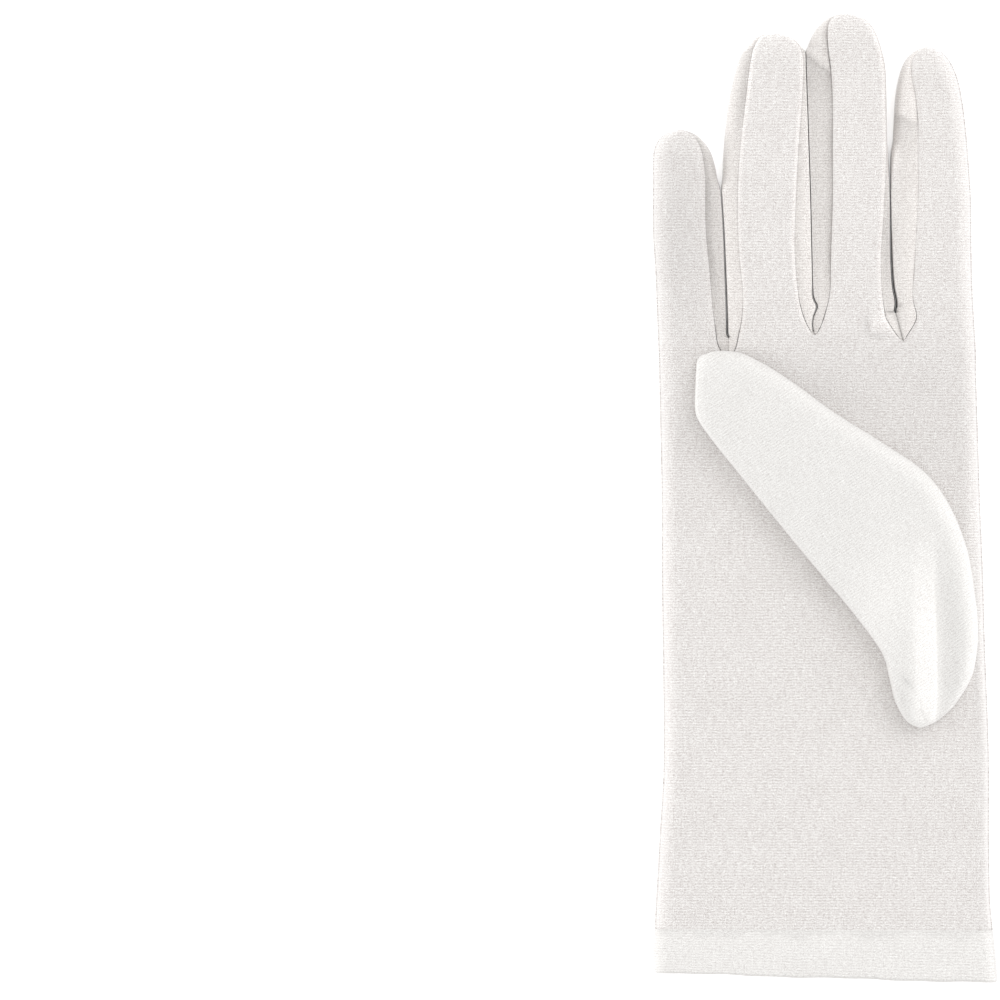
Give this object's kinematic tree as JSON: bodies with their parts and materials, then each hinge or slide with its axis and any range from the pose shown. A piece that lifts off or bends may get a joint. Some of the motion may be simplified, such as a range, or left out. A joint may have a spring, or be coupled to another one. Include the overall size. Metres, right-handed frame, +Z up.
{
  "type": "wrist length dress glove",
  "caption": "Hollow cloth dress glove for a right hand, lying flat palm up, thumb folded over the palm, fingers with side strips, turned hem at the mouth.",
  "frame": {"origin": "on the surface the glove lies on, below the middle of its whole length and width", "axes": "+Y from the mouth to the fingertips, +X from the little finger's side to the index finger's side, +Z up, out of the palm"},
  "size_m": [0.0864, 0.2428, 0.0167],
  "materials": {
    "cloth": "fine white knitted cloth with a soft satin nap",
    "fourchette_cloth": "the same fine white knitted cloth, turned across its nap",
    "hem_cloth": "the same cloth, doubled and softly blind stitched"
  },
  "bodies": {
    "root": {"palm_panel": "cloth", "back_panel": "cloth", "fourchette_little_ring": "fourchette_cloth", "fourchette_ring_middle": "fourchette_cloth", "fourchette_middle_index": "fourchette_cloth", "thumb": "cloth", "hem": "hem_cloth"}
  },
  "joints": []
}
